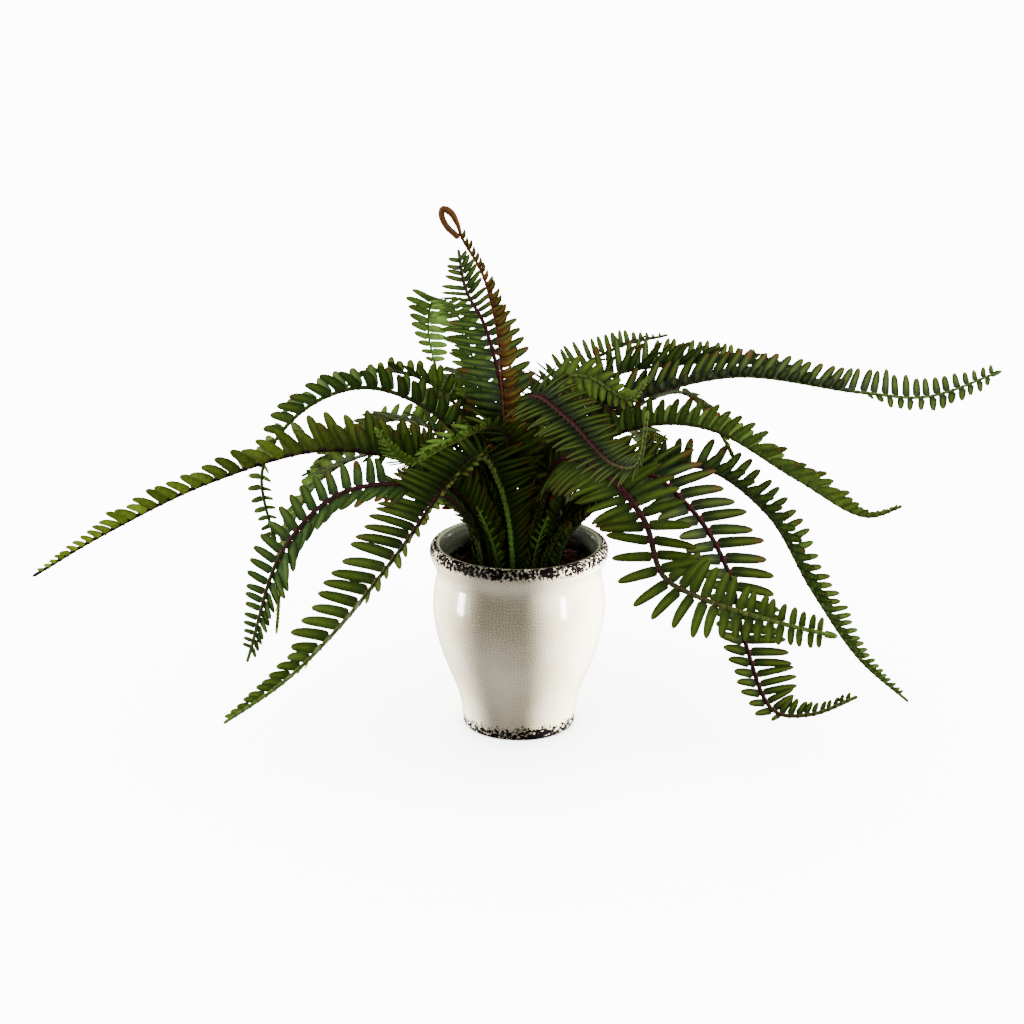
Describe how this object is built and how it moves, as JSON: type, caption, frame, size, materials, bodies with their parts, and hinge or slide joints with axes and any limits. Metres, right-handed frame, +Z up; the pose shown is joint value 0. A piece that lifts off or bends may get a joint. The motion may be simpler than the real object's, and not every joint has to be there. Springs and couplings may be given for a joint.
{
  "type": "potted fern",
  "caption": "Arching sword fern with pinnate fronds and a curled young frond, growing in a bellied ceramic pot with a rolled speckled rim.",
  "frame": {"origin": "centre of the pot's flat underside, on the surface that the pot stands on", "axes": "+Z up, +X to the right and -Y towards the front of the picture's view"},
  "size_m": [0.6827, 0.3432, 0.3696],
  "materials": {
    "pot_glaze": "glossy off-white crackle glaze with dark brown speckled bands at the lip and the foot, grey-green inside",
    "potting_mix": "dark bark and peat, loose and rough",
    "leaf": "satin mid to dark green leaflets with red-brown tips on a maroon to green rib",
    "shoot": "satin light green",
    "young_leaf": "satin coppery brown"
  },
  "bodies": {
    "root": {"pot": "pot_glaze", "potting_mix": "potting_mix", "young_frond": "young_leaf", "frond_front_left": "leaf", "frond_front_right": "leaf", "frond_right_low": "leaf", "frond_right_hanging": "leaf", "frond_left_long": "leaf", "frond_right_long": "leaf", "frond_right": "leaf", "frond_left_arched": "leaf", "frond_left_low": "leaf", "frond_left_drooping": "leaf", "frond_crown_right": "leaf", "frond_crown_left": "leaf", "frond_upright": "leaf", "frond_back_left_arching": "leaf", "frond_back_left": "leaf", "frond_left_small": "leaf", "frond_right_upper": "leaf", "frond_back_right": "leaf", "frond_right_small": "leaf", "frond_right_tucked": "leaf", "frond_rear_right": "leaf", "frond_rear_low": "leaf", "frond_rear": "leaf", "frond_rear_left": "leaf", "frond_rear_small": "leaf", "shoot_front": "shoot", "shoot_right": "shoot"}
  },
  "joints": []
}
